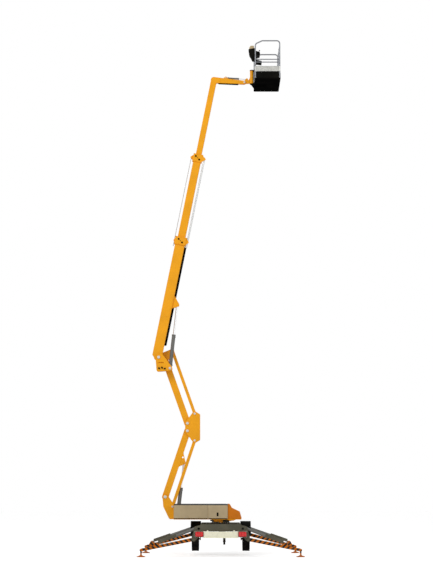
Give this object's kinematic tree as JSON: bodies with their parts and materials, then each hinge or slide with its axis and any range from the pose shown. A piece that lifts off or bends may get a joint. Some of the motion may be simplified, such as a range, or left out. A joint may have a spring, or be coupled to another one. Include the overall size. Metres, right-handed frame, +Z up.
{
  "type": "articulating boom lift",
  "caption": "Trailer-mounted articulating telescopic boom lift on four outriggers, with riser linkage, jib neck and work cage.",
  "frame": {"origin": "bottom centre of the whole machine, on the ground under the outrigger pads", "axes": "+Z up, +Y towards the drawbar, +X to the side that the boom leans to at rest"},
  "size_m": [4.466, 5.05, 14.189],
  "materials": {
    "orange_paint": "satin, lightly weathered",
    "leg_stripes": "orange and black diagonal stripes",
    "chassis_grey": "satin",
    "cylinder_grey": "satin",
    "polished_rod": "polished",
    "zinc_plate": "zinc plated",
    "black_plastic": "textured",
    "black_paint": "satin",
    "cream_board": "smooth",
    "red_lens": "clear lens",
    "tyre_rubber": "worn",
    "rim_paint": "silver",
    "hood_beige": "moulded, weathered",
    "rail_grey": "satin"
  },
  "bodies": {
    "chassis": {"chassis_frame": "chassis_grey", "slew_pedestal": "chassis_grey", "axle": "chassis_grey", "mudguards": "black_plastic", "light_board": "cream_board", "lamps": "red_lens", "drawbar": "chassis_grey", "jockey_leg": "zinc_plate"},
    "wheel_left": {"tyre_left": "tyre_rubber", "rim_left": "rim_paint"},
    "wheel_right": {"tyre_right": "tyre_rubber", "rim_right": "rim_paint"},
    "jockey_wheel": {"jockey_wheel": "tyre_rubber"},
    "turntable": {"turntable_deck": "orange_paint", "counterweight": "orange_paint", "riser_bracket": "orange_paint", "power_pack": "black_plastic"},
    "near_hood_left": {"near_hood_left": "hood_beige"},
    "near_hood_right": {"near_hood_right": "hood_beige"},
    "far_hood": {"far_hood": "hood_beige"},
    "lower_arm": {"lower_arm": "orange_paint"},
    "lower_tie": {"lower_tie": "orange_paint"},
    "knuckle": {"knuckle": "orange_paint"},
    "upper_arm": {"upper_arm": "orange_paint"},
    "upper_tie": {"upper_tie": "orange_paint"},
    "king_post": {"king_post": "orange_paint"},
    "lift_barrel": {"lift_barrel": "cylinder_grey"},
    "lift_rod": {"lift_rod": "polished_rod"},
    "luff_barrel": {"luff_barrel": "cylinder_grey"},
    "luff_rod": {"luff_rod": "polished_rod"},
    "boom_base": {"boom_base": "orange_paint", "hose_tray": "black_paint"},
    "boom_middle": {"boom_middle": "orange_paint", "boom_pipes": "zinc_plate"},
    "boom_tip": {"boom_tip": "orange_paint", "neck_duct": "black_paint"},
    "cage_bracket": {"cage_bracket": "orange_paint"},
    "level_barrel": {"level_barrel": "cylinder_grey"},
    "level_rod": {"level_rod": "polished_rod"},
    "cage": {"cage_mount": "black_paint", "cage_floor": "black_paint", "cage_end_frames": "rail_grey", "cage_side_rails": "rail_grey", "cage_toe_boards": "black_plastic", "cage_console": "black_plastic", "tool_case": "hood_beige"},
    "cage_gate": {"cage_gate": "rail_grey"},
    "leg_rear_left": {"leg_rear_left": "leg_stripes"},
    "leg_barrel_rear_left": {"leg_barrel_rear_left": "cylinder_grey"},
    "leg_rod_rear_left": {"leg_rod_rear_left": "chassis_grey"},
    "leg_rear_right": {"leg_rear_right": "leg_stripes"},
    "leg_barrel_rear_right": {"leg_barrel_rear_right": "cylinder_grey"},
    "leg_rod_rear_right": {"leg_rod_rear_right": "chassis_grey"},
    "leg_front_left": {"leg_front_left": "leg_stripes"},
    "leg_barrel_front_left": {"leg_barrel_front_left": "cylinder_grey"},
    "leg_rod_front_left": {"leg_rod_front_left": "chassis_grey"},
    "leg_front_right": {"leg_front_right": "leg_stripes"},
    "leg_barrel_front_right": {"leg_barrel_front_right": "cylinder_grey"},
    "leg_rod_front_right": {"leg_rod_front_right": "chassis_grey"}
  },
  "joints": [
    {"name": "slew", "type": "hinge", "parent": "chassis", "child": "turntable", "pos_m": [0, -0.775, 0.969], "axis": [0, 0, 1], "range_deg": [-270, 90]},
    {"name": "riser", "type": "hinge", "parent": "turntable", "child": "lower_arm", "pos_m": [-1.524, -0.645, 1.577], "axis": [0, -1, 0], "range_deg": [-63, 2]},
    {"name": "lower_tie_hinge", "type": "hinge", "parent": "turntable", "child": "lower_tie", "pos_m": [-1.324, -0.645, 1.312], "axis": [0, -1, 0], "range_deg": [-63.5, 2.5]},
    {"name": "knuckle_hinge", "type": "hinge", "parent": "lower_arm", "child": "knuckle", "pos_m": [-0.91795, -0.645, 3.3883], "axis": [0, -1, 0], "range_deg": [-2.5, 63.5]},
    {"name": "upper_riser", "type": "hinge", "parent": "knuckle", "child": "upper_arm", "pos_m": [-0.91795, -0.645, 3.5963], "axis": [0, 1, 0], "range_deg": [-63, 2]},
    {"name": "upper_tie_hinge", "type": "hinge", "parent": "knuckle", "child": "upper_tie", "pos_m": [-0.71795, -0.645, 3.8613], "axis": [0, 1, 0], "range_deg": [-63.5, 2.5]},
    {"name": "king_post_hinge", "type": "hinge", "parent": "upper_arm", "child": "king_post", "pos_m": [-1.53853, -0.645, 5.3391], "axis": [0, -1, 0], "range_deg": [-63.5, 2.5]},
    {"name": "lift_barrel_hinge", "type": "hinge", "parent": "turntable", "child": "lift_barrel", "pos_m": [-1.184, -0.645, 1.05], "axis": [0, -1, 0], "range_deg": [-49.46, 2.05]},
    {"name": "lift_rod_slide", "type": "slide", "parent": "lift_barrel", "child": "lift_rod", "axis": [0.1144, 0, 0.9934], "range_m": [-0.59589, 0.02182]},
    {"name": "luff", "type": "hinge", "parent": "king_post", "child": "boom_base", "pos_m": [-1.71053, -0.905, 5.4051], "axis": [0, -1, 0], "range_deg": [-78.3, 2]},
    {"name": "luff_barrel_hinge", "type": "hinge", "parent": "king_post", "child": "luff_barrel", "pos_m": [-1.39753, -0.905, 5.1001], "axis": [0, -1, 0], "range_deg": [-79.25, 2.51]},
    {"name": "luff_rod_slide", "type": "slide", "parent": "luff_barrel", "child": "luff_rod", "axis": [0.1065, 0, 0.9943], "range_m": [-0.55472, 0.01709]},
    {"name": "telescope", "type": "slide", "parent": "boom_base", "child": "boom_middle", "axis": [0.1959, 0, 0.9806], "range_m": [-2.05, 0]},
    {"name": "tip_slide", "type": "slide", "parent": "boom_middle", "child": "boom_tip", "axis": [0.1959, 0, 0.9806], "range_m": [-2.053, 0]},
    {"name": "cage_levelling", "type": "hinge", "parent": "boom_tip", "child": "cage_bracket", "pos_m": [0.67003, -0.905, 13.16397], "axis": [0, -1, 0], "range_deg": [-2.5, 78.8]},
    {"name": "level_barrel_hinge", "type": "hinge", "parent": "boom_tip", "child": "level_barrel", "pos_m": [0.14903, -0.905, 13.29997], "axis": [0, -1, 0], "range_deg": [-2.63, 0.55]},
    {"name": "level_rod_slide", "type": "slide", "parent": "level_barrel", "child": "level_rod", "axis": [0.9976, 0, -0.0691], "range_m": [-0.15153, 0.00679]},
    {"name": "cage_swivel", "type": "hinge", "parent": "cage_bracket", "child": "cage", "pos_m": [0.87803, -0.905, 13.13897], "axis": [0, 0, 1], "range_deg": [-45, 45]},
    {"name": "cage_gate_hinge", "type": "hinge", "parent": "cage", "child": "cage_gate", "pos_m": [1.64103, -1.1547, 13.64397], "axis": [0, 0, 1], "range_deg": [0, 90]},
    {"name": "leg_rear_left_hinge", "type": "hinge", "parent": "chassis", "child": "leg_rear_left", "pos_m": [-0.72, -2.375, 0.465], "axis": [0, -1, 0], "range_deg": [-80, 0]},
    {"name": "leg_barrel_rear_left_hinge", "type": "hinge", "parent": "chassis", "child": "leg_barrel_rear_left", "pos_m": [-0.652, -2.375, 0.758], "axis": [0, -1, 0], "range_deg": [-83.53, 0]},
    {"name": "leg_rod_rear_left_slide", "type": "slide", "parent": "leg_barrel_rear_left", "child": "leg_rod_rear_left", "axis": [-0.9336, 0, -0.3584], "range_m": [-0.38656, 0]},
    {"name": "leg_rear_right_hinge", "type": "hinge", "parent": "chassis", "child": "leg_rear_right", "pos_m": [0.72, -2.375, 0.465], "axis": [0, 1, 0], "range_deg": [-80, 0]},
    {"name": "leg_barrel_rear_right_hinge", "type": "hinge", "parent": "chassis", "child": "leg_barrel_rear_right", "pos_m": [0.652, -2.375, 0.758], "axis": [0, 1, 0], "range_deg": [-83.53, 0]},
    {"name": "leg_rod_rear_right_slide", "type": "slide", "parent": "leg_barrel_rear_right", "child": "leg_rod_rear_right", "axis": [0.9336, 0, -0.3584], "range_m": [-0.38656, 0]},
    {"name": "leg_front_left_hinge", "type": "hinge", "parent": "chassis", "child": "leg_front_left", "pos_m": [-0.72, 0.825, 0.545], "axis": [0, -1, 0], "range_deg": [-80, 0]},
    {"name": "leg_barrel_front_left_hinge", "type": "hinge", "parent": "chassis", "child": "leg_barrel_front_left", "pos_m": [-0.652, 0.825, 0.758], "axis": [0, -1, 0], "range_deg": [-81.39, 0]},
    {"name": "leg_rod_front_left_slide", "type": "slide", "parent": "leg_barrel_front_left", "child": "leg_rod_front_left", "axis": [-0.9458, 0, -0.3247], "range_m": [-0.28982, 0]},
    {"name": "leg_front_right_hinge", "type": "hinge", "parent": "chassis", "child": "leg_front_right", "pos_m": [0.72, 0.825, 0.545], "axis": [0, 1, 0], "range_deg": [-80, 0]},
    {"name": "leg_barrel_front_right_hinge", "type": "hinge", "parent": "chassis", "child": "leg_barrel_front_right", "pos_m": [0.652, 0.825, 0.758], "axis": [0, 1, 0], "range_deg": [-81.39, 0]},
    {"name": "leg_rod_front_right_slide", "type": "slide", "parent": "leg_barrel_front_right", "child": "leg_rod_front_right", "axis": [0.9458, 0, -0.3247], "range_m": [-0.28982, 0]},
    {"name": "wheel_left_spin", "type": "hinge", "parent": "chassis", "child": "wheel_left", "pos_m": [-0.692, -0.775, 0.44], "axis": [1, 0, 0], "continuous": true},
    {"name": "wheel_right_spin", "type": "hinge", "parent": "chassis", "child": "wheel_right", "pos_m": [0.692, -0.775, 0.44], "axis": [1, 0, 0], "continuous": true},
    {"name": "jockey_wheel_spin", "type": "hinge", "parent": "chassis", "child": "jockey_wheel", "pos_m": [0.11, 1.945, 0.3], "axis": [1, 0, 0], "continuous": true},
    {"name": "near_hood_left_hinge", "type": "hinge", "parent": "turntable", "child": "near_hood_left", "pos_m": [-0.345, -0.78, 1.385], "axis": [-1, 0, 0], "range_deg": [0, 70]},
    {"name": "near_hood_right_hinge", "type": "hinge", "parent": "turntable", "child": "near_hood_right", "pos_m": [-0.345, -0.78, 1.385], "axis": [-1, 0, 0], "range_deg": [0, 70]},
    {"name": "far_hood_hinge", "type": "hinge", "parent": "turntable", "child": "far_hood", "pos_m": [-0.345, -0.51, 1.385], "axis": [1, 0, 0], "range_deg": [0, 70]}
  ],
  "couplings": [
    {"joint": "lower_tie_hinge", "follows": "riser", "ratio": 1},
    {"joint": "knuckle_hinge", "follows": "riser", "ratio": -1},
    {"joint": "upper_tie_hinge", "follows": "upper_riser", "ratio": 1},
    {"joint": "king_post_hinge", "follows": "upper_riser", "ratio": 1},
    {"joint": "lift_barrel_hinge", "follows": "riser", "ratio": 0.7771},
    {"joint": "lift_rod_slide", "follows": "riser", "m_per_rad": 0.53921},
    {"joint": "luff_barrel_hinge", "follows": "luff", "ratio": 1.0058},
    {"joint": "luff_rod_slide", "follows": "luff", "m_per_rad": 0.40372},
    {"joint": "tip_slide", "follows": "telescope", "ratio": 1},
    {"joint": "cage_levelling", "follows": "luff", "ratio": -1},
    {"joint": "level_barrel_hinge", "follows": "luff", "ratio": 0.027201},
    {"joint": "level_rod_slide", "follows": "luff", "m_per_rad": 0.10869},
    {"joint": "leg_barrel_rear_left_hinge", "follows": "leg_rear_left_hinge", "ratio": 1.0378},
    {"joint": "leg_rod_rear_left_slide", "follows": "leg_rear_left_hinge", "m_per_rad": 0.2747},
    {"joint": "leg_barrel_rear_right_hinge", "follows": "leg_rear_right_hinge", "ratio": 1.0378},
    {"joint": "leg_rod_rear_right_slide", "follows": "leg_rear_right_hinge", "m_per_rad": 0.2747},
    {"joint": "leg_barrel_front_left_hinge", "follows": "leg_front_left_hinge", "ratio": 1.0111},
    {"joint": "leg_rod_front_left_slide", "follows": "leg_front_left_hinge", "m_per_rad": 0.20542},
    {"joint": "leg_barrel_front_right_hinge", "follows": "leg_front_right_hinge", "ratio": 1.0111},
    {"joint": "leg_rod_front_right_slide", "follows": "leg_front_right_hinge", "m_per_rad": 0.20542}
  ]
}
